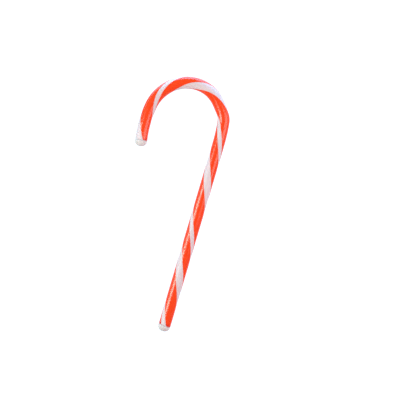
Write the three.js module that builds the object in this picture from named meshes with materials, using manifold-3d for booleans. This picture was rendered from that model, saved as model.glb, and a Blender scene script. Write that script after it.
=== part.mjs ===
// A candy cane: one rod of boiled sugar, white with a wide and a narrow red band pressed into it,
// twisted as it was rolled, cut to length and bent into a hook while warm. Both cut ends have
// rounded over into white domes.
//
// Millimetres, +Z up. The cane lies on its side. Its stem runs along +Y and its hook turns towards -X
// and back down. The origin is under the middle of the cane, on the surface it lies on.

import * as THREE from 'three';
import { mergeVertices } from 'three/addons/utils/BufferGeometryUtils.js';
import Module from 'manifold-3d';

// Rod
const bodyRadius = 3.5; // to the surface of the white sugar
const bandRise = 0.12; // the red bands stand this far out of the white
const bandEdge = 2.5; // degrees of section in which a band's edge rises

// Colour bands in the order they pass over the top of the stem, in degrees of section
const bands = [
  { width: 39.5, red: false },
  { width: 143.5, red: true },
  { width: 76.5, red: false },
  { width: 100.5, red: true },
];
const firstBandStart = -30.5; // where the narrow white band begins in the foot's section

// Centreline from the foot to the tip. Pitch is the length in which the bands go once round: the warm
// sugar stretched where it was bent.
const stemLength = 113;
const stemPitch = 59;
const hookPitch = 65;
const hook = [
  { radius: 112, turn: 7, pitch: hookPitch },
  { radius: 10.5, turn: 26, pitch: hookPitch },
  { radius: 52, turn: 9, pitch: hookPitch },
  { radius: 20.5, turn: 63, pitch: hookPitch },
  { radius: 24, turn: 67, pitch: hookPitch },
  { radius: 68, turn: 18, pitch: stemPitch },
];

// Rounded ends: a crease where the bands stop, then a dome a little fuller than the rod
const creaseRadius = 3.4;
const creaseWidth = 0.3;
const domeRadius = 3.7;
const domeHeight = 3.6;

// Underside: the height of the centreline over the surface, so that a narrow strip is flat
const restHeight = 3.45;

// Fineness of the facets
const ringStep = 2; // mm along the rod
const ringTurn = 6; // most degrees of bend between two rings
const sectionStep = 12; // degrees round the section
const domeRings = 5;

const sugarRed = 0xf9482a;

// The section's corners: an angle round the rod and a radius for each, with two at every band's edge.
function sectionCorners() {
  const corners = [];
  let start = firstBandStart;
  for (const band of bands) {
    const first = start + bandEdge / 2;
    const span = band.width - bandEdge;
    const steps = Math.round(span / sectionStep);
    for (let i = 0; i <= steps; i++) {
      corners.push({
        angle: first + (span * i) / steps,
        radius: bodyRadius + (band.red ? bandRise : 0),
      });
    }
    start += band.width;
  }
  return corners;
}

// Stations along the centreline: a point, the heading of the rod in the XY plane, and the twist of
// the bands, both in degrees.
function centrelineStations() {
  const stretches = [
    { length: stemLength, turn: 0, pitch: stemPitch },
    ...hook.map((bend) => ({ length: bend.radius * THREE.MathUtils.degToRad(bend.turn), ...bend })),
  ];
  const stations = [{ point: new THREE.Vector3(0, 0, restHeight), heading: 90, twist: 0 }];
  for (const stretch of stretches) {
    const steps = Math.ceil(Math.max(stretch.length / ringStep, stretch.turn / ringTurn));
    const turn = stretch.turn / steps;
    const arc = stretch.length / steps;
    const halfTurn = THREE.MathUtils.degToRad(turn / 2);
    const chord = stretch.turn > 0 ? (arc * Math.sin(halfTurn)) / halfTurn : arc;
    for (let i = 0; i < steps; i++) {
      const last = stations[stations.length - 1];
      stations.push({
        point: last.point.clone().addScaledVector(along(last.heading + turn / 2), chord),
        heading: last.heading + turn,
        twist: last.twist + (360 * arc) / stretch.pitch,
      });
    }
  }
  return stations;
}

function along(heading) {
  const angle = THREE.MathUtils.degToRad(heading);
  return new THREE.Vector3(Math.cos(angle), Math.sin(angle), 0);
}

// One ring of points square to the rod. A corner's angle is counted from the top, against the twist.
function ring(station, radii, corners, shift = 0) {
  const centre = station.point.clone().addScaledVector(along(station.heading), shift);
  const side = along(station.heading - 90);
  return corners.map((corner, i) => {
    const fromTop = THREE.MathUtils.degToRad(station.twist - corner.angle);
    return centre
      .clone()
      .addScaledVector(side, -radii[i] * Math.sin(fromTop))
      .add(new THREE.Vector3(0, 0, radii[i] * Math.cos(fromTop)));
  });
}

// Rings of a rounded end from the crease out, and the dome's tip. Outward is +1 past the hook's tip
// and -1 past the foot.
function domedEnd(station, corners, outward) {
  const even = (radius) => corners.map(() => radius);
  const rings = [ring(station, even(creaseRadius), corners, (outward * creaseWidth) / 2)];
  for (let i = 0; i < domeRings; i++) {
    const angle = (i / domeRings) * (Math.PI / 2);
    const shift = creaseWidth + domeHeight * Math.sin(angle);
    rings.push(ring(station, even(domeRadius * Math.cos(angle)), corners, outward * shift));
  }
  const reach = outward * (creaseWidth + domeHeight);
  const tip = station.point.clone().addScaledVector(along(station.heading), reach);
  return { rings, tip };
}

// A closed skin over rings of equal size, ordered from the foot to the tip, with a point at each end.
function skinOver(rings, footTip, hookTip) {
  const count = rings[0].length;
  const points = [...rings.flat(), footTip, hookTip];
  const faces = [];
  for (let row = 0; row < rings.length - 1; row++) {
    for (let i = 0; i < count; i++) {
      const a = row * count + i;
      const b = row * count + ((i + 1) % count);
      faces.push(a, b, a + count, b, b + count, a + count);
    }
  }
  const lastRow = (rings.length - 1) * count;
  const foot = rings.length * count;
  for (let i = 0; i < count; i++) {
    const next = (i + 1) % count;
    faces.push(foot, next, i, foot + 1, lastRow + i, lastRow + next);
  }
  const geometry = new THREE.BufferGeometry().setFromPoints(points);
  geometry.setIndex(faces);
  return geometry;
}

function rodGeometry() {
  const corners = sectionCorners();
  const radii = corners.map((corner) => corner.radius);
  const stations = centrelineStations();
  const foot = domedEnd(stations[0], corners, -1);
  const tip = domedEnd(stations[stations.length - 1], corners, 1);
  const rodRings = stations.map((station) => ring(station, radii, corners));
  return skinOver([...foot.rings.reverse(), ...rodRings, ...tip.rings], foot.tip, tip.tip);
}

function toManifold(wasm, geometry) {
  const bare = new THREE.BufferGeometry();
  bare.setAttribute('position', geometry.getAttribute('position'));
  bare.setIndex(geometry.getIndex());
  const merged = mergeVertices(bare);
  return new wasm.Manifold(
    new wasm.Mesh({
      numProp: 3,
      vertProperties: new Float32Array(merged.getAttribute('position').array),
      triVerts: new Uint32Array(merged.getIndex().array),
    }),
  );
}

function fromManifold(solid) {
  const mesh = solid.getMesh();
  const geometry = new THREE.BufferGeometry();
  geometry.setAttribute('position', new THREE.BufferAttribute(mesh.vertProperties, 3));
  geometry.setIndex(new THREE.BufferAttribute(mesh.triVerts, 1));
  return geometry;
}

// Takes off what is below the surface, which leaves a flat strip under the whole rod.
function flattenedUnderneath(wasm, geometry) {
  geometry.computeBoundingBox();
  const size = geometry.boundingBox.getSize(new THREE.Vector3()).multiplyScalar(2);
  const centre = geometry.boundingBox.getCenter(new THREE.Vector3());
  const ground = new THREE.BoxGeometry(size.x, size.y, size.z);
  ground.translate(centre.x, centre.y, -size.z / 2);
  return fromManifold(toManifold(wasm, geometry).subtract(toManifold(wasm, ground)));
}

const wasm = await Module();
wasm.setup();

const caneGeometry = flattenedUnderneath(wasm, rodGeometry());
caneGeometry.computeBoundingBox();
const middle = caneGeometry.boundingBox.getCenter(new THREE.Vector3());
caneGeometry.translate(-middle.x, -middle.y, 0);
caneGeometry.computeVertexNormals();

const cane = new THREE.Mesh(
  caneGeometry,
  new THREE.MeshStandardMaterial({ color: sugarRed, roughness: 0.2, metalness: 0 }),
);
cane.name = 'cane';

const candyCane = new THREE.Group();
candyCane.add(cane);

export default candyCane;
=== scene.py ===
import math

import bpy
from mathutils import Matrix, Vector


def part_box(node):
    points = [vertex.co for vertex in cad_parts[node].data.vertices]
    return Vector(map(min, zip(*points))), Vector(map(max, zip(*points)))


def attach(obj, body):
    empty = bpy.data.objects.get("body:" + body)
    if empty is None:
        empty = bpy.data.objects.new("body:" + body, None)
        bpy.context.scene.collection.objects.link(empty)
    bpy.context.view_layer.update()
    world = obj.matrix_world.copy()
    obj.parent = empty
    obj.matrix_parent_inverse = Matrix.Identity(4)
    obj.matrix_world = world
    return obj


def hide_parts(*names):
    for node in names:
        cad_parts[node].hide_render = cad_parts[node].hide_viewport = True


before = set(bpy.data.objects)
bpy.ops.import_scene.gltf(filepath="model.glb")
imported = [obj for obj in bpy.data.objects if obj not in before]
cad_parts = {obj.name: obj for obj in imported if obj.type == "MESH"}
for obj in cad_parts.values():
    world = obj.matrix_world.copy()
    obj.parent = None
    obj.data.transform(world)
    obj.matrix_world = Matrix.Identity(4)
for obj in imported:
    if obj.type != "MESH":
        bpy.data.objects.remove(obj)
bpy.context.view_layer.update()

# ---- White rod -------------------------------------------------------------------------------------
# The body of the cane: white sugar, boiled, pulled until it is milky and rolled into a rod, then
# twisted, cut and bent into a hook while warm. Both cut ends have rounded over into dull domes, with
# a crease where the red bands stop.

MM = 0.001
rod_radius = 3.58 * MM
crease_radius = 3.4 * MM
crease_width = 0.3 * MM
crease_bottom = (0.25, 0.6)  # the crease is deepest between these parts of its width
dome_radius = 3.68 * MM
dome_height = 3.36 * MM
dome_fullness = 2.2  # 2 would be a plain ellipse
dome_slip = Vector((-0.17 * MM, 0, 0))  # both domes sit a little off the rod's middle
cut_lean = -6  # degrees anticlockwise from above: both ends were cut a little askew
cut_reach = 4 * MM  # how far into the rod its ends lean with the cut
cut_fade = 2  # the power by which the lean fades over that reach
side_room = 3.7 * MM  # from the stem's middle to the side of the space the cane takes up
end_room = 3.9 * MM  # from the bands' end to the end of the space the cane takes up
rest_height = 3.45 * MM  # the rod's middle over the table: a narrow strip under it has settled flat

# The bands go once round in 58 to 60 mm of the stem and of the hook's end, a little less or more where
# the rod was rolled harder or softer, and in 65 mm of the hook's bends, where the warm sugar stretched.
stem_lengths = [(57 * MM, 59.0 * MM), (55.92 * MM, 58.0 * MM)]  # length and pitch
bend_pitch = 64.7 * MM
end_pitch = 59.9 * MM
hook_bends = [  # radius and degrees of turn of each arc, and the pitch in it
    (112 * MM, 7, bend_pitch),
    (10.5 * MM, 26, bend_pitch),
    (52 * MM, 9, bend_pitch),
    (20.45 * MM, 63, bend_pitch),
    (23.95 * MM, 67, bend_pitch),
    (68 * MM, 18, end_pitch),
]
stem_heading = 90  # degrees from +X

path_step = 0.7 * MM
dome_steps = 14
rod_facets = 96
swell_height = 0.03 * MM  # hand-rolled sugar is this uneven
swells_per_metre = 110.0
table_gap = 0.02 * MM  # the white lies this much higher than the red bands, which carry the cane
weld_distance = 0.0001 * MM  # the points of a dome's tip are this close and become one
boundless = -1.0  # metres: lower than any place on the cane

# The red bands round the rod, in degrees of the section: where each starts and how wide it is.
red_bands = {"wide_red_band": (13.8, 139.0), "narrow_red_band": (233.5, 96.3)}

milk = (0.67, 0.565, 0.60)
thin_milk = (0.63, 0.525, 0.555)
airy_milk = (0.70, 0.615, 0.645)
dome_milk = (0.65, 0.615, 0.62)
# The white is darkened towards this colour in the crease as painted shade.
painted_crease_shade = (0.30, 0.24, 0.24)
crease_range = (0.05, 0.2)  # of a measure that is 0 beside the crease and 0.25 in its middle
crease_share = 0.6
bled_red = (0.70, 0.38, 0.38)
bleed_width = 8  # degrees of the section, beside each band
bleed_share = 0.35
bleed_start = 9 * MM  # the bleed comes up over this length of the foot
bleed_end = 12 * MM  # and dies away over this length of the hook's end

# Both sugars are clouded and streaked by a noise of 0 to 1. Over these ranges of it one colour passes
# into the next, up to the share given, and the gloss changes.
cloud_range = (0.35, 0.65)
gloss_range = (0.3, 0.7)
white_streak_range = (0.35, 0.7)
white_streak_share = 0.6
white_roughness = (0.38, 0.46)
dome_dullness = 0.2  # added to the roughness on the domes

cane_low, cane_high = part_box("cane")
foot = Vector((cane_high.x - side_room, cane_low.y + end_room, rest_height))


def pointing(heading):
    """The level direction at these degrees from +X."""
    return Vector((math.cos(math.radians(heading)), math.sin(math.radians(heading)), 0))


def along_the_rod():
    """Stations from the foot to the hook's tip, where the bands begin and end."""
    stretches = [(length, 0, pitch) for length, pitch in stem_lengths]
    stretches += [(radius * math.radians(turn), turn, pitch) for radius, turn, pitch in hook_bends]
    stations = [{"middle": foot.copy(), "heading": stem_heading, "twist": 0.0, "run": 0.0}]
    for length, turn, pitch in stretches:
        steps = math.ceil(length / path_step)
        half_turn = math.radians(turn / steps / 2)
        arc = length / steps
        chord = arc * math.sin(half_turn) / half_turn if turn else arc
        for _ in range(steps):
            last = stations[-1]
            stations.append({
                "middle": last["middle"] + chord * pointing(last["heading"] + turn / steps / 2),
                "heading": last["heading"] + turn / steps,
                "twist": last["twist"] + 2 * math.pi * arc / pitch,
                "run": last["run"] + arc,
            })
    for station in stations:
        from_end = min(station["run"], stations[-1]["run"] - station["run"])
        station["lean"] = max(0.0, 1 - from_end / cut_reach) ** cut_fade
        station.update(swell=1.0, slip=0.0, start_turn=0.0, end_turn=0.0)
    return stations


def rounded_end(station, outward):
    """Stations beyond the bands: the crease, then the dome, closed at its tip."""
    profile = [(part * crease_width, crease_radius, 0.0, 1.0) for part in crease_bottom]
    for step in range(dome_steps + 1):
        share = math.sin(math.pi / 2 * step / dome_steps)
        radius = dome_radius * (1 - share**dome_fullness) ** (1 / dome_fullness)
        profile.append((crease_width + dome_height * share, radius, 1.0, 1 - share))
    return [
        dict(
            station,
            middle=station["middle"] + outward * reach * pointing(station["heading"]),
            run=station["run"] + outward * reach,
            swell=radius / rod_radius,
            slip=slip,
            lean=lean,
        )
        for reach, radius, slip, lean in profile
    ]


carried_numbers = ("twist", "run", "swell", "slip", "start_turn", "end_turn", "lean")


def guide_wire(stations):
    """A chain of edges through the stations, which carries what the sweep needs to know of each."""
    mesh = bpy.data.meshes.new("guide_wire")
    middles = [station["middle"] for station in stations]
    mesh.from_pydata(middles, [(i, i + 1) for i in range(len(stations) - 1)], [])
    for key in carried_numbers:
        numbers = mesh.attributes.new(key, "FLOAT", "POINT")
        numbers.data.foreach_set("value", [station[key] for station in stations])
    forwards = [pointing(station["heading"]) for station in stations]
    for key, vectors in (("middle", middles), ("forward", forwards)):
        places = mesh.attributes.new(key, "FLOAT_VECTOR", "POINT")
        places.data.foreach_set("vector", [x for vector in vectors for x in vector])
    wire = bpy.data.objects.new("guide_wire", mesh)
    bpy.context.scene.collection.objects.link(wire)
    return wire


def feed(tree, inputs, feeds):
    """Gives each named or numbered input its feed: a socket is linked, any other value is set."""
    for key, value in dict(feeds).items():
        if isinstance(value, bpy.types.NodeSocket):
            tree.links.new(value, inputs[key])
        else:
            inputs[key].default_value = value


def put(tree, kind, feeds=(), **settings):
    """Adds a node with these settings, feeds its inputs and gives its outputs."""
    node = tree.nodes.new(kind)
    for setting, value in settings.items():
        setattr(node, setting, value)
    feed(tree, node.inputs, feeds)
    return node.outputs


def reckon(tree, operation, *terms):
    """A Math node on these terms."""
    return put(tree, "ShaderNodeMath", enumerate(terms), operation=operation)[0]


def vector_reckon(tree, operation, *terms, out="Vector"):
    """A Vector Math node on these terms."""
    return put(tree, "ShaderNodeVectorMath", enumerate(terms), operation=operation)[out]


def times(tree, vector, size):
    """A vector made this many times as long."""
    feeds = {0: vector, "Scale": size}
    return put(tree, "ShaderNodeVectorMath", feeds, operation="SCALE")["Vector"]


def store(tree, shape, key, value, kind="FLOAT_VECTOR"):
    """The shape with a value written on each of its points."""
    feeds = {"Geometry": shape, "Name": key, "Value": value}
    return put(
        tree, "GeometryNodeStoreNamedAttribute", feeds, data_type=kind, domain="POINT"
    )["Geometry"]


def stored(tree, key, kind="FLOAT"):
    """The value that each point carries under this key."""
    return put(tree, "GeometryNodeInputNamedAttribute", {"Name": key}, data_type=kind)["Attribute"]


def move(tree, shape, **feeds):
    """The shape with its points at this Position, or moved by this Offset."""
    return put(tree, "GeometryNodeSetPosition", {"Geometry": shape, **feeds})["Geometry"]


def new_sweep_tree(name, sizes):
    """A geometry tree with a named input for the guide wire, each size and the material."""
    tree = bpy.data.node_groups.new(name, "GeometryNodeTree")
    tree.interface.new_socket("Guide wire", in_out="INPUT", socket_type="NodeSocketGeometry")
    for size in sizes:
        tree.interface.new_socket(size, in_out="INPUT", socket_type="NodeSocketFloat")
    tree.interface.new_socket("Sugar", in_out="INPUT", socket_type="NodeSocketMaterial")
    tree.interface.new_socket("Piece", in_out="OUTPUT", socket_type="NodeSocketGeometry")
    return tree, tree.nodes.new("NodeGroupInput").outputs


def draw_along(tree, given, section, fill_caps):
    """Draws the section along the guide wire, twisted, and notes its place on the straight rod."""
    place = put(tree, "GeometryNodeInputPosition")["Position"]
    section = store(tree, section, "across", vector_reckon(tree, "NORMALIZE", place))
    wire = put(tree, "GeometryNodeMeshToCurve", {"Mesh": given["Guide wire"]})["Curve"]
    wire = put(tree, "GeometryNodeSetCurveNormal", {"Curve": wire}, mode="Z_UP")["Curve"]
    left_handed = reckon(tree, "MULTIPLY", stored(tree, "twist"), -1.0)
    wire = put(tree, "GeometryNodeSetCurveTilt", {"Curve": wire, "Tilt": left_handed})["Curve"]
    feeds = {
        "Curve": wire,
        "Profile Curve": section,
        "Scale": stored(tree, "swell"),
        "Fill Caps": fill_caps,
    }
    skin = put(tree, "GeometryNodeCurveToMesh", feeds)["Mesh"]

    # The place on the rod as it was before it was twisted and bent, which the sugar's streaks follow.
    across = put(tree, "ShaderNodeSeparateXYZ", {0: stored(tree, "across", "FLOAT_VECTOR")})
    straight = put(
        tree,
        "ShaderNodeCombineXYZ",
        {
            "X": reckon(tree, "MULTIPLY", across["X"], given["Rod radius"]),
            "Y": reckon(tree, "MULTIPLY", across["Y"], given["Rod radius"]),
            "Z": stored(tree, "run"),
        },
    )["Vector"]
    return store(tree, skin, "pulled", straight), straight


def sweep(tree, given, section, fill_caps):
    """Draws the section along the guide wire, makes it uneven, and sets it down on the table."""
    skin, straight = draw_along(tree, given, section, fill_caps)
    place = put(tree, "GeometryNodeInputPosition")["Position"]
    middle = stored(tree, "middle", "FLOAT_VECTOR")
    forward = stored(tree, "forward", "FLOAT_VECTOR")

    # A band's edges wander a little round the rod, which a turn at its start and at its end gives.
    spread = reckon(tree, "SUBTRACT", stored(tree, "end_turn"), stored(tree, "start_turn"))
    share = stored(tree, "share")
    turn = reckon(tree, "MULTIPLY_ADD", share, spread, stored(tree, "start_turn"))
    feeds = {"Vector": place, "Center": middle, "Axis": forward, "Angle": turn}
    skin = move(tree, skin, Position=put(tree, "ShaderNodeVectorRotate", feeds)["Vector"])

    # The sugar dips inwards here and there, never outwards.
    feeds = {"Vector": straight, "Scale": swells_per_metre, "Detail": 1.0}
    dip = reckon(tree, "SUBTRACT", put(tree, "ShaderNodeTexNoise", feeds)[0], 1.0)
    dip = reckon(tree, "MULTIPLY", dip, given["Unevenness"])
    off_middle = vector_reckon(tree, "SUBTRACT", place, middle)
    shift = times(tree, vector_reckon(tree, "NORMALIZE", off_middle), dip)

    # The cut's lean moves one side of the rod's end forwards and the other side back.
    rightward = vector_reckon(tree, "CROSS_PRODUCT", forward, (0, 0, 1))
    to_the_right = vector_reckon(tree, "DOT_PRODUCT", off_middle, rightward, out="Value")
    slope = reckon(tree, "MULTIPLY", stored(tree, "lean"), math.tan(math.radians(cut_lean)))
    push = reckon(tree, "MULTIPLY", to_the_right, slope)
    shift = vector_reckon(tree, "ADD", shift, times(tree, forward, push))
    shift = vector_reckon(tree, "ADD", shift, times(tree, dome_slip, stored(tree, "slip")))
    skin = move(tree, skin, Offset=shift)

    # What hung lower than the lowest point has settled flat.
    feeds = {"X": boundless, "Y": boundless, "Z": given["Lowest point"]}
    lowest = put(tree, "ShaderNodeCombineXYZ", feeds)["Vector"]
    skin = move(tree, skin, Position=vector_reckon(tree, "MAXIMUM", place, lowest))
    feeds = {"Geometry": skin, "Distance": weld_distance}
    skin = put(tree, "GeometryNodeMergeByDistance", feeds)["Geometry"]

    for passing in ("across", "share", "middle", "forward", *carried_numbers):
        feeds = {"Geometry": skin, "Name": passing}
        skin = put(tree, "GeometryNodeRemoveAttribute", feeds)["Geometry"]
    skin = put(tree, "GeometryNodeSetShadeSmooth", {"Geometry": skin})["Geometry"]
    skin = put(tree, "GeometryNodeRealizeInstances", {"Geometry": skin})["Geometry"]
    feeds = {"Geometry": skin, "Material": given["Sugar"]}
    skin = put(tree, "GeometryNodeSetMaterial", feeds)["Geometry"]
    tree.links.new(skin, tree.nodes.new("NodeGroupOutput").inputs["Piece"])


def pull(name, stations, tree, sizes, sugar):
    """Runs the tree on a wire through the stations, and keeps the result as a plain mesh piece."""
    wire = guide_wire(stations)
    recipe = wire.modifiers.new(tree.name, "NODES")
    recipe.node_group = tree
    inputs = [item for item in tree.interface.items_tree if item.in_out == "INPUT"]
    sockets = {item.name: item.identifier for item in inputs}
    for size, value in sizes.items():
        recipe[sockets[size]] = value
    recipe[sockets["Sugar"]] = sugar
    evaluated = wire.evaluated_get(bpy.context.evaluated_depsgraph_get())
    mesh = bpy.data.meshes.new_from_object(evaluated)
    mesh.name = name
    wire.modifiers.remove(recipe)
    bpy.data.objects.remove(wire)
    piece = bpy.data.objects.new(name, mesh)
    bpy.context.scene.collection.objects.link(piece)
    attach(piece, "root")
    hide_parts("cane")


def new_sugar(name):
    """A material with only its Principled shader, and the place on the straight rod to colour it by."""
    material = bpy.data.materials.new(name)
    material.use_nodes = True
    tree = material.node_tree
    tree.nodes.clear()
    shader = tree.nodes.new("ShaderNodeBsdfPrincipled")
    put(tree, "ShaderNodeOutputMaterial", {"Surface": shader.outputs["BSDF"]})
    pulled = put(tree, "ShaderNodeAttribute", attribute_name="pulled")["Vector"]
    return material, tree, shader.inputs, pulled


def streaks(tree, pulled, width, length, detail=3.0):
    """Noise drawn out along the rod: 0 to 1, in streaks of about this width and length."""
    feeds = {"Vector": pulled, "Scale": (1, 1, width / length)}
    drawn = put(tree, "ShaderNodeMapping", feeds)["Vector"]
    return put(tree, "ShaderNodeTexNoise", {"Vector": drawn, "Scale": 1 / width, "Detail": detail})[0]


def blend(tree, share, first, second):
    """A colour between two, by a share from 0 to 1. A plain colour is red, green and blue."""
    first, second = [
        colour if isinstance(colour, bpy.types.NodeSocket) else (*colour, 1)
        for colour in (first, second)
    ]
    # A Mix node's colours are its inputs 6 and 7 and its output 2.
    feeds = {"Factor": share, 6: first, 7: second}
    return put(tree, "ShaderNodeMix", feeds, data_type="RGBA")[2]


def ramp(tree, value, span, result=(0.0, 1.0)):
    """Maps a value from the span to the result, and holds it at the ends of both."""
    feeds = {"Value": value, "From Min": span[0], "From Max": span[1]}
    feeds.update({"To Min": result[0], "To Max": result[1]})
    return put(tree, "ShaderNodeMapRange", feeds)[0]


def grooves(tree, height, strength):
    """A relief of a fiftieth of a millimetre, by this height from 0 to 1."""
    feeds = {"Height": height, "Strength": strength, "Distance": 0.02 * MM}
    return put(tree, "ShaderNodeBump", feeds)["Normal"]


def band_middle(band):
    """The angle of a band's middle round the section, in radians. The section's +X is at 90 degrees."""
    start, width = red_bands[band]
    return math.radians(start + width / 2 - 90)


def beside_bands(tree, pulled):
    """1 at the red bands' edges, and down to 0 over the width of the bleed beside them."""
    flat = vector_reckon(tree, "MULTIPLY", pulled, (1, 1, 0))
    outward = vector_reckon(tree, "NORMALIZE", flat)
    beside = 0.0
    for band, (_, width) in red_bands.items():
        direction = (math.cos(band_middle(band)), math.sin(band_middle(band)), 0)
        towards = vector_reckon(tree, "DOT_PRODUCT", outward, direction, out="Value")
        edge = math.cos(math.radians(width / 2))
        far = math.cos(math.radians(width / 2 + bleed_width))
        beside = reckon(tree, "MAXIMUM", beside, ramp(tree, towards, (far, edge)))
    return beside


def white_sugar():
    """Milky sugar in fine streaks, with red bled in beside the bands, duller on the domes, and with
    painted shade in the crease.
    """
    material, tree, sugar, pulled = new_sugar("pulled_white_sugar")
    run = put(tree, "ShaderNodeSeparateXYZ", {0: pulled})["Z"]
    rod_run = rod_stations[-1]["run"]
    fine = streaks(tree, pulled, width=0.35 * MM, length=18 * MM)
    cloud = streaks(tree, pulled, width=2.5 * MM, length=14 * MM, detail=1.0)
    streak = ramp(tree, fine, white_streak_range, (0, white_streak_share))
    white = blend(tree, ramp(tree, cloud, cloud_range), milk, thin_milk)
    white = blend(tree, streak, white, airy_milk)

    coming = ramp(tree, run, (0, bleed_start), (0, bleed_share))
    going = ramp(tree, run, (rod_run, rod_run - bleed_end))
    bleed = reckon(tree, "MULTIPLY", beside_bands(tree, pulled), coming)
    white = blend(tree, reckon(tree, "MULTIPLY", bleed, going), white, bled_red)

    before = ramp(tree, run, (0, -crease_width))
    after = ramp(tree, run, (rod_run, rod_run + crease_width))
    dome = reckon(tree, "MAXIMUM", before, after)
    not_dome = reckon(tree, "SUBTRACT", 1.0, dome)
    # Painted shade in the crease, deepest in its middle.
    crease = reckon(tree, "MULTIPLY", dome, not_dome)
    crease = ramp(tree, crease, crease_range, (0, crease_share))
    white = blend(tree, dome, white, dome_milk)
    white = blend(tree, crease, white, painted_crease_shade)

    roughness = ramp(tree, cloud, gloss_range, white_roughness)
    feed(tree, sugar, {
        "Base Color": white,
        "Roughness": reckon(tree, "MULTIPLY_ADD", dome, dome_dullness, roughness),
        "IOR": 1.4,
        "Subsurface Weight": 0.25,
        "Subsurface Radius": (1.0, 0.6, 0.6),
        "Subsurface Scale": 1.2 * MM,
        "Normal": grooves(tree, reckon(tree, "MULTIPLY", fine, not_dome), strength=0.25),
    })
    return material


rod_stations = along_the_rod()
foot_end = rounded_end(rod_stations[0], -1)
hook_end = rounded_end(rod_stations[-1], 1)
rod_tree, given = new_sweep_tree("pulled rod", ("Rod radius", "Unevenness", "Lowest point"))
feeds = {"Resolution": rod_facets, "Radius": given["Rod radius"]}
round_section = put(rod_tree, "GeometryNodeCurvePrimitiveCircle", feeds)["Curve"]
sweep(rod_tree, given, round_section, False)
pull(
    "white_rod",
    foot_end[::-1] + rod_stations + hook_end,
    rod_tree,
    {"Rod radius": rod_radius, "Unevenness": swell_height, "Lowest point": table_gap},
    white_sugar(),
)

# ---- Red bands -------------------------------------------------------------------------------------
# A wide and a narrow strip of clear red sugar, laid on the white before it was rolled and twisted, so
# that they run round it as a left-handed screw. They have sunk in and stand only a hair proud.

band_rise = 0.12 * MM
band_depth = 0.5 * MM  # how far a strip reaches under the white's surface
band_rounding = 0.25 * MM  # at its two long edges
band_sink = 0.12 * MM  # the outer face dives this deep under the white at those edges
band_facets = 120
edge_slack = 0.0001  # of the strip's half width: both edge points belong to the outer face

# Near the ends the white has flowed wider: a band's edge has turned round the rod by these degrees at
# the very end, and by less over the reach.
band_flares = {  # edge, whether at the hook's tip, reach and degrees
    "wide_red_band": [("start_turn", False, 9 * MM, 2.5)],
    "narrow_red_band": [("end_turn", False, 9 * MM, -5), ("start_turn", True, 16 * MM, 38)],
}
flare_fade = 1.5  # the power by which the flare fades over its reach
end_rounding = 0.15 * MM
end_gap = 0.26 * MM  # between a band's end and the crease

red = (0.85, 0.050, 0.002)
thick_red = (0.83, 0.046, 0.0015)
thin_red = (0.85, 0.060, 0.004)
red_streak_range = (0.4, 0.75)
red_streak_share = 0.5
red_roughness = (0.16, 0.20)
# Near the cut ends the red is darkened with painted shade, with a ragged edge.
painted_end_shade = (0.62, 0.014, 0.003)
end_share = 0.8
end_depth = (0.3 * MM, -0.9 * MM)  # from the end less the raggedness: the painted shade sets in and is full
raggedness = 3.0 * MM
rags_per_metre = 700.0
# A painted shadow line at the very end of each band, where it meets the crease.
painted_end_shadow = (0.22, 0.035, 0.02)
rim_share = 0.8
rim_depth = (0.35 * MM, 0.1 * MM)  # from the end: the painted shadow line sets in and is full


def red_sugar():
    """Clear red sugar in fine streaks, glossy, with painted shade near its cut ends and a painted shadow
    line at the very end.
    """
    material, tree, sugar, pulled = new_sugar("clear_red_sugar")
    fine = streaks(tree, pulled, width=0.4 * MM, length=25 * MM)
    cloud = streaks(tree, pulled, width=2.0 * MM, length=16 * MM, detail=1.0)
    streak = ramp(tree, fine, red_streak_range, (0, red_streak_share))
    colour = blend(tree, ramp(tree, cloud, cloud_range), red, thick_red)
    colour = blend(tree, streak, colour, thin_red)

    run = put(tree, "ShaderNodeSeparateXYZ", {0: pulled})["Z"]
    to_tip = reckon(tree, "SUBTRACT", rod_stations[-1]["run"], run)
    from_end = reckon(tree, "MINIMUM", run, to_tip)
    feeds = {"Vector": pulled, "Scale": rags_per_metre, "Detail": 1.0}
    ragged = put(tree, "ShaderNodeTexNoise", feeds)[0]
    # Painted shade near both cut ends, with a ragged edge.
    depth = reckon(tree, "MULTIPLY_ADD", ragged, -raggedness, from_end)
    colour = blend(tree, ramp(tree, depth, end_depth, (0, end_share)), colour, painted_end_shade)
    # The painted shadow line at the very end of each band.
    colour = blend(tree, ramp(tree, from_end, rim_depth, (0, rim_share)), colour, painted_end_shadow)
    feed(tree, sugar, {
        "Base Color": colour,
        "Roughness": ramp(tree, cloud, gloss_range, red_roughness),
        "IOR": 1.5,
        "Subsurface Weight": 0.1,
        "Subsurface Radius": (1.0, 0.25, 0.1),
        "Subsurface Scale": 0.8 * MM,
        "Normal": grooves(tree, fine, strength=0.06),
    })
    return material


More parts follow.
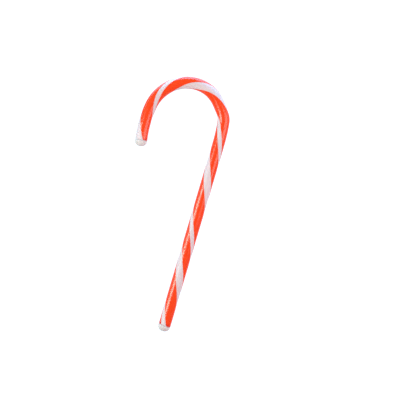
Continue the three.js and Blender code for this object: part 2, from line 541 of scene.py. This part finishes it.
def band_section(tree, given):
    """The strip's closed section: its outer face on top of the rod, rounded down at both edges.

    It is bent from a circle of radius 1, whose upper half becomes the outer face."""
    feeds = {"Resolution": band_facets, "Radius": 1.0}
    circle = put(tree, "GeometryNodeCurvePrimitiveCircle", feeds)["Curve"]
    place = put(tree, "GeometryNodeInputPosition")["Position"]
    spot = put(tree, "ShaderNodeSeparateXYZ", {0: place})
    share = reckon(tree, "MULTIPLY_ADD", spot["X"], 0.5, 0.5)
    circle = store(tree, circle, "share", share, "FLOAT")
    half_width = reckon(tree, "MULTIPLY", given["Band width"], 0.5)
    angle = reckon(tree, "MULTIPLY_ADD", spot["X"], half_width, given["Band middle"])

    # The edge's rounding is a quarter circle: its drop goes from 0 on top to 1 at the very edge.
    half_length = reckon(tree, "MULTIPLY", half_width, given["Rod radius"])
    inwards = reckon(tree, "SUBTRACT", 1.0, reckon(tree, "ABSOLUTE", spot["X"]))
    from_edge = reckon(tree, "MULTIPLY", inwards, half_length)
    part = reckon(tree, "DIVIDE", from_edge, given["Edge rounding"])
    outwards = reckon(tree, "SUBTRACT", 1.0, reckon(tree, "MINIMUM", part, 1.0))
    squared = reckon(tree, "MULTIPLY", outwards, outwards)
    left = reckon(tree, "SQRT", reckon(tree, "SUBTRACT", 1.0, squared))
    drop = reckon(tree, "SUBTRACT", 1.0, left)

    full_drop = reckon(tree, "ADD", given["Rise"], given["Sink"])
    top = reckon(tree, "ADD", given["Rod radius"], given["Rise"])
    outer = reckon(tree, "SUBTRACT", top, reckon(tree, "MULTIPLY", drop, full_drop))
    inner = reckon(tree, "SUBTRACT", given["Rod radius"], given["Depth"])
    is_outer = reckon(tree, "GREATER_THAN", spot["Y"], -edge_slack)
    thickness = reckon(tree, "SUBTRACT", outer, inner)
    radius = reckon(tree, "MULTIPLY_ADD", is_outer, thickness, inner)
    feeds = {
        "X": reckon(tree, "MULTIPLY", radius, reckon(tree, "COSINE", angle)),
        "Y": reckon(tree, "MULTIPLY", radius, reckon(tree, "SINE", angle)),
    }
    bent = move(tree, circle, Position=put(tree, "ShaderNodeCombineXYZ", feeds)["Vector"])
    return put(tree, "GeometryNodeReverseCurve", {"Curve": bent})["Curve"]


def drawn_in(station, outward, length):
    """The same station, moved inwards from its end of the rod by this length."""
    back = -outward * length
    middle = station["middle"] + back * pointing(station["heading"])
    return dict(station, middle=middle, run=station["run"] + back)


def band_stations(flares):
    """The rod's stations between the creases, with a gap and a rounded rim at both ends."""
    stations = [dict(station) for station in rod_stations]
    rod_run = stations[-1]["run"]
    for edge, at_tip, reach, degrees in flares:
        for station in stations:
            from_end = rod_run - station["run"] if at_tip else station["run"]
            flare = max(0.0, 1 - from_end / reach) ** flare_fade
            station[edge] += math.radians(degrees) * flare
    sunk = 1 - band_rise / (rod_radius + band_rise)
    foot_rim = drawn_in(stations[0], -1, end_gap)
    tip_rim = drawn_in(stations[-1], 1, end_gap)
    return [
        dict(foot_rim, swell=sunk),
        drawn_in(foot_rim, -1, end_rounding),
        *stations[1:-1],
        drawn_in(tip_rim, 1, end_rounding),
        dict(tip_rim, swell=sunk),
    ]


band_sizes = {
    "Rod radius": rod_radius,
    "Rise": band_rise,
    "Sink": band_sink,
    "Depth": band_depth,
    "Edge rounding": band_rounding,
    "Unevenness": swell_height,
    "Lowest point": 0.0,
}
band_tree, given = new_sweep_tree("laid band", ("Band middle", "Band width", *band_sizes))
sweep(band_tree, given, band_section(band_tree, given), True)
clear_red = red_sugar()
for band, (_, width) in red_bands.items():
    own_sizes = {"Band middle": band_middle(band), "Band width": math.radians(width)}
    stations = band_stations(band_flares[band])
    pull(band, stations, band_tree, {**own_sizes, **band_sizes}, clear_red)

# ---- Table, light and camera -----------------------------------------------------------------------
# The cane lies on a plain white light table under soft light. The camera looks straight down on it and
# is turned, so that the stem leans to the right in the picture.

picture_width = 400  # pixels
metres_per_pixel = 0.6 * MM
foot_pixel = (164.5, 325.3)  # where the bands begin at the foot, counted from the top left
stem_lean = 16.575  # degrees that the stem leans to the right in the picture
focal_length = 100  # millimetres, as a camera counts them
film_width = 36

right = pointing(stem_lean)
up = pointing(stem_lean + 90)
centre = (
    foot
    + (picture_width / 2 - foot_pixel[0]) * metres_per_pixel * right
    + (foot_pixel[1] - picture_width / 2) * metres_per_pixel * up
)

lens = bpy.data.cameras.new("camera")
lens.lens = focal_length
lens.sensor_width = film_width
camera_height = focal_length / film_width * picture_width * metres_per_pixel
camera = bpy.data.objects.new("camera", lens)
camera.location = centre + Vector((0, 0, camera_height))
camera.rotation_euler = (0, 0, math.radians(stem_lean))
bpy.context.scene.collection.objects.link(camera)
bpy.context.scene.camera = camera

light_distance = 0.55  # metres
cool = (0.55, 0.9, 1.5)
warm = (1.0, 0.55, 0.55)
greenish = (0.97, 1.0, 0.87)
yellowish = (1.0, 1.0, 0.9)
bluish = (1.0, 1.0, 1.1)
sky = (0.6, 1.0, 1.15)


def soft_light(name, heading, rise, size, brightness, colour=(1, 1, 1), in_gloss=True):
    """A softbox that faces the middle of the picture from this heading and rise, both in degrees.

    Its size is level then upright. A brightness of 1 is about that of the white table."""
    panel = bpy.data.lights.new(name, "AREA")
    panel.shape = "RECTANGLE"
    panel.size, panel.size_y = size
    panel.energy = brightness * math.pi * size[0] * size[1]
    panel.color = colour
    light = bpy.data.objects.new(name, panel)
    towards = math.cos(math.radians(rise)) * pointing(heading)
    towards.z = math.sin(math.radians(rise))
    light.location = Vector((centre.x, centre.y, 0)) + light_distance * towards
    light.rotation_euler = towards.to_track_quat("Z", "Y").to_euler()
    light.visible_camera = False
    light.visible_glossy = in_gloss
    bpy.context.scene.collection.objects.link(light)


# Name, heading, rise, size, brightness and colour.
soft_light("left_softbox", 189, 39, (0.225, 0.215), 12.6, greenish)
soft_light("left_box_top", 193, 60, (0.19, 0.16), 2.2)
soft_light("left_box_foot", 189, 16, (0.22, 0.15), 2.6)
soft_light("right_softbox", 22, 33, (0.35, 0.25), 3.4)
soft_light("right_box_top", 25, 55, (0.33, 0.18), 2.7, yellowish)
soft_light("right_box_foot", 24, 12, (0.30, 0.12), 2.5, bluish)
soft_light("window_behind", 100, 7, (0.52, 0.12), 6.7, cool)
soft_light("window_right_edge", 55, 9, (0.30, 0.15), 0.5)
soft_light("front_card", 252, 10, (0.22, 0.16), 1.8)
soft_light("warm_fill", 335, 15, (0.5, 0.3), 2.6, warm, in_gloss=False)
soft_light("left_fill", 190, 5, (0.4, 0.2), 2.6, sky, in_gloss=False)

# A light table. To the eye it is plain white all over, from any side. Onto the cane it glows less than
# that, and hardly along itself. That glow is painted light and shade: dimmest, as painted shade, left of
# the hook, and beyond the hook a painted pool of the window's cool light.
table_size = 4.0  # metres
table_white = (0.9, 1.0, 1.12)
painted_window_light = (1.7, 2.85, 4.2)
upright_glow = 1.15  # straight up, as a share of paper white
middle_glow = 0.85  # aslant, from the table under the cane
left_glow = 0.10  # aslant, from the table left of the hook: painted shade there
right_share = 0.8  # of the middle glow, from the table right of the stem
along_share = 0.08  # of all these, along the table
left_border = (-28 * MM, -22 * MM)  # X of the strip where the left part passes into the middle
right_border = (24 * MM, 28 * MM)
window_heading = 105  # degrees from +X
window_border = (66 * MM, 78 * MM)  # from the cane's middle, where the painted window light sets in
leaving_upright = (0.05, 0.15)  # slants: 0 is straight up and 1 is along the table
window_slants = (0.15, 0.3)
nearly_along = (0.65, 0.85)

half = table_size / 2
table_mesh = bpy.data.meshes.new("table")
table_mesh.from_pydata(
    [(-half, -half, 0), (half, -half, 0), (half, half, 0), (-half, half, 0)], [], [(0, 1, 2, 3)]
)
table = bpy.data.objects.new("table", table_mesh)
bpy.context.scene.collection.objects.link(table)

light_table = bpy.data.materials.new("light_table")
light_table.use_nodes = True
light_table.cycles.emission_sampling = "NONE"  # it is too wide to be worth aiming at
glass = light_table.node_tree
table_place = put(glass, "ShaderNodeTexCoord")["Object"]
sideways = put(glass, "ShaderNodeSeparateXYZ", {0: table_place})["X"]
onto_cane = reckon(glass, "SUBTRACT", 1.0, put(glass, "ShaderNodeLightPath")["Is Camera Ray"])
slant = put(glass, "ShaderNodeLayerWeight", {"Blend": 0.5})["Facing"]
slant = reckon(glass, "MULTIPLY", slant, onto_cane)
to_middle = ramp(glass, sideways, left_border, (left_glow, middle_glow))
to_right = ramp(glass, sideways, right_border, (1.0, right_share))
aslant = reckon(glass, "MULTIPLY", to_middle, to_right)
upward = ramp(glass, slant, leaving_upright, (upright_glow, aslant))
own_glow = reckon(glass, "MULTIPLY", upward, ramp(glass, slant, nearly_along, (1.0, along_share)))
beyond = vector_reckon(glass, "DOT_PRODUCT", table_place, pointing(window_heading), out="Value")
beyond = ramp(glass, beyond, window_border)
window_share = reckon(glass, "MULTIPLY", beyond, ramp(glass, slant, window_slants))
# A Mix node's numbers are its inputs 2 and 3 and its output 0.
feeds = {"Factor": window_share, 2: own_glow, 3: 1.0}
feed(glass, glass.nodes["Principled BSDF"].inputs, {
    "Base Color": (0.05, 0.05, 0.05, 1),
    "Roughness": 1.0,
    "Specular IOR Level": 0.1,
    "Emission Color": blend(glass, window_share, table_white, painted_window_light),
    "Emission Strength": put(glass, "ShaderNodeMix", feeds)[0],
})
table_mesh.materials.append(light_table)

# The rest of the room is a dim warm grey.
room = bpy.data.worlds.new("room")
room.use_nodes = True
room_light = {"Color": (0.34, 0.32, 0.32, 1), "Strength": 1.0}
feed(room.node_tree, room.node_tree.nodes["Background"].inputs, room_light)
bpy.context.scene.world = room
bpy.context.scene.view_settings.view_transform = "Standard"
